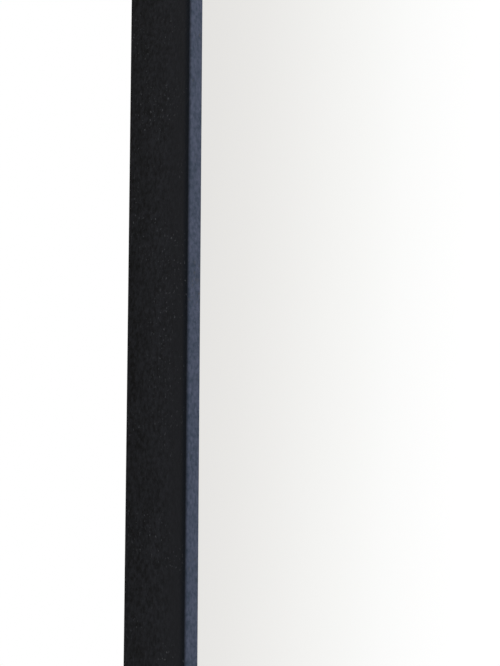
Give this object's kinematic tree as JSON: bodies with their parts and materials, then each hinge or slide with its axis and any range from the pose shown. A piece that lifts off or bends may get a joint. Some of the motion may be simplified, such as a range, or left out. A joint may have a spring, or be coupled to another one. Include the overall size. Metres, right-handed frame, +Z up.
{
  "type": "pull out closet mirror",
  "caption": "Tall narrow mirror in a slim black aluminium frame, carried on ball runners that pull it out of a closet and on pivots that swivel it to face the room.",
  "frame": {"origin": "middle of the front mounting bar's back face, which rests on the closet's side panel", "axes": "+Z up, -X the way the mirror pulls out, -Y the way the mirror faces while it is stored, +Y into the side panel"},
  "size_m": [0.3719, 0.0554, 1.2208],
  "materials": {
    "frame_black": "aluminium extrusion with a fine-textured black powder coat, satin, tiny bright sparkles",
    "mirror_glass": "silvered float glass with a clean arris",
    "black_rubber": "matte black rubber",
    "backing_board": "dark dyed fibreboard, matte",
    "zinc_steel": "zinc-plated cold-rolled steel, satin",
    "cage_steel": "thin yellow-passivated steel cage with bright balls",
    "black_steel": "steel plate with a black powder coat",
    "black_screw": "black oxide steel screw",
    "cast_key": "die-cast grey metal",
    "pivot_pin": "turned bright steel",
    "bush_brass": "plain turned brass",
    "black_plastic": "moulded black plastic",
    "magnet": "sintered dark grey ferrite"
  },
  "bodies": {
    "panel_side": {"front_mounting_bar": "black_steel", "rear_mounting_bar": "black_steel", "upper_outer_rail": "zinc_steel", "lower_outer_rail": "zinc_steel"},
    "outer_cages": {"upper_outer_ball_cage": "cage_steel", "lower_outer_ball_cage": "cage_steel"},
    "middle_slides": {"upper_middle_rail": "zinc_steel", "lower_middle_rail": "zinc_steel"},
    "inner_cages": {"upper_inner_ball_cage": "cage_steel", "lower_inner_ball_cage": "cage_steel"},
    "carriage": {"upper_inner_rail": "zinc_steel", "lower_inner_rail": "zinc_steel", "upper_front_carriage_screw": "zinc_steel", "upper_rear_carriage_screw": "zinc_steel", "lower_front_carriage_screw": "zinc_steel", "lower_rear_carriage_screw": "zinc_steel", "carriage_post": "frame_black", "carriage_bar": "black_steel", "upper_pivot_bracket": "black_steel", "lower_pivot_bracket": "black_steel", "upper_front_bracket_screw": "black_screw", "upper_rear_bracket_screw": "black_screw", "lower_front_bracket_screw": "black_screw", "lower_rear_bracket_screw": "black_screw", "upper_pivot_pin": "pivot_pin", "lower_pivot_pin": "pivot_pin", "upper_pivot_washer": "black_plastic", "lower_pivot_washer": "black_plastic", "catch_housing": "black_plastic", "catch_magnet": "magnet", "upper_bumper": "black_rubber", "lower_bumper": "black_rubber"},
    "mirror": {"left_stile": "frame_black", "right_stile": "frame_black", "top_rail": "frame_black", "bottom_rail": "frame_black", "mirror_glass": "mirror_glass", "backing_board": "backing_board", "left_glass_seal": "black_rubber", "right_glass_seal": "black_rubber", "top_glass_seal": "black_rubber", "bottom_glass_seal": "black_rubber", "upper_left_corner_key": "cast_key", "upper_right_corner_key": "cast_key", "lower_left_corner_key": "cast_key", "lower_right_corner_key": "cast_key", "upper_left_stile_screw": "black_screw", "upper_left_rail_screw": "black_screw", "upper_right_stile_screw": "black_screw", "upper_right_rail_screw": "black_screw", "lower_left_stile_screw": "black_screw", "lower_left_rail_screw": "black_screw", "lower_right_stile_screw": "black_screw", "lower_right_rail_screw": "black_screw", "upper_pivot_bush": "bush_brass", "lower_pivot_bush": "bush_brass", "strike_plate": "zinc_steel", "upper_strike_plate_screw": "zinc_steel", "lower_strike_plate_screw": "zinc_steel"}
  },
  "joints": [
    {"name": "pull_out", "type": "slide", "parent": "panel_side", "child": "carriage", "axis": [-1, 0, 0], "range_m": [0, 0.34]},
    {"name": "middle_travel", "type": "slide", "parent": "panel_side", "child": "middle_slides", "axis": [-1, 0, 0], "range_m": [0, 0.17]},
    {"name": "outer_cage_travel", "type": "slide", "parent": "panel_side", "child": "outer_cages", "axis": [-1, 0, 0], "range_m": [0, 0.085]},
    {"name": "inner_cage_travel", "type": "slide", "parent": "panel_side", "child": "inner_cages", "axis": [-1, 0, 0], "range_m": [0, 0.255]},
    {"name": "mirror_swivel", "type": "hinge", "parent": "carriage", "child": "mirror", "pos_m": [-0.0429, -0.0396, 0], "axis": [0, 0, -1], "range_deg": [0, 100]}
  ],
  "couplings": [
    {"joint": "middle_travel", "follows": "pull_out", "ratio": 0.5},
    {"joint": "outer_cage_travel", "follows": "pull_out", "ratio": 0.25},
    {"joint": "inner_cage_travel", "follows": "pull_out", "ratio": 0.75}
  ]
}
